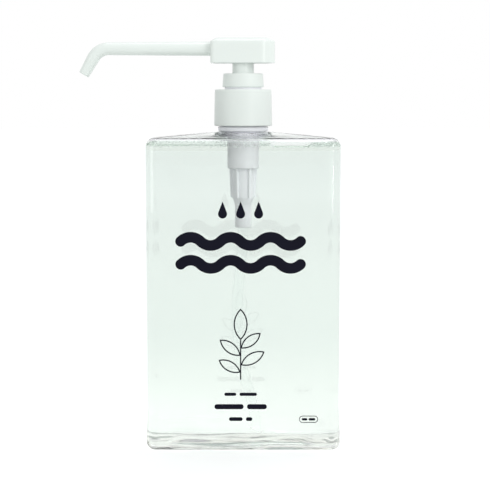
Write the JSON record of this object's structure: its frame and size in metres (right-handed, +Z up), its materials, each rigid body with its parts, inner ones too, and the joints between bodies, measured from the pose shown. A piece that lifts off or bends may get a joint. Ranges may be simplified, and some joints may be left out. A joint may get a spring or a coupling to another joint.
{
  "type": "dish soap bottle",
  "caption": "Clear rectangular pump bottle of dish soap, with a screw closure, a locking lotion pump, a long bent spout and a dip tube.",
  "frame": {"origin": "centre of the bottle's standing rim, on the surface that it stands on", "axes": "+Z up along the pump's axis, +Y to the back, front face with the print at -Y, spout along -X"},
  "size_m": [0.1242, 0.0421, 0.1957],
  "materials": {
    "clear_bottle": "clear, glossy, blow moulded",
    "soap": "clear liquid with a faint green tint",
    "navy_ink": "screen print",
    "white_plastic": "satin moulded plastic",
    "milky_plastic": "translucent natural plastic",
    "tube_plastic": "translucent natural plastic",
    "gasket_foam": "soft foam",
    "steel": "bright stainless steel"
  },
  "bodies": {
    "bottle": {"bottle": "clear_bottle", "liquid_soap": "soap", "front_print": "navy_ink"},
    "pump_unit": {"housing": "milky_plastic", "lock_ring": "white_plastic", "neck_gasket": "gasket_foam", "dip_tube": "tube_plastic"},
    "closure": {"closure": "white_plastic"},
    "spring": {"return_spring": "steel"},
    "actuator": {"actuator_head": "white_plastic", "nozzle_tube": "white_plastic", "stem": "white_plastic", "piston_rod": "white_plastic"},
    "piston": {"piston": "milky_plastic"},
    "inlet_ball": {"inlet_ball": "steel"}
  },
  "joints": [
    {"name": "pump_lift", "type": "slide", "parent": "bottle", "child": "pump_unit", "axis": [0, 0, 1], "range_m": [0, 0.00476]},
    {"name": "closure_turn", "type": "hinge", "parent": "pump_unit", "child": "closure", "pos_m": [0, 0, 0.16], "axis": [0, 0, 1], "range_deg": [0, 540]},
    {"name": "head_press", "type": "slide", "parent": "pump_unit", "child": "spring", "axis": [0, 0, 1], "range_m": [0, 0.015], "deforming": ["return_spring"]},
    {"name": "head_turn", "type": "hinge", "parent": "spring", "child": "actuator", "pos_m": [0, 0, 0.18], "axis": [0, 0, 1], "continuous": true},
    {"name": "piston_slip", "type": "slide", "parent": "actuator", "child": "piston", "axis": [0, 0, 1], "range_m": [0, 0.001]},
    {"name": "ball_lift", "type": "slide", "parent": "pump_unit", "child": "inlet_ball", "axis": [0, 0, 1], "range_m": [0, 0.0012]}
  ],
  "couplings": [
    {"joint": "pump_lift", "follows": "closure_turn", "m_per_rad": 0.00050531}
  ]
}
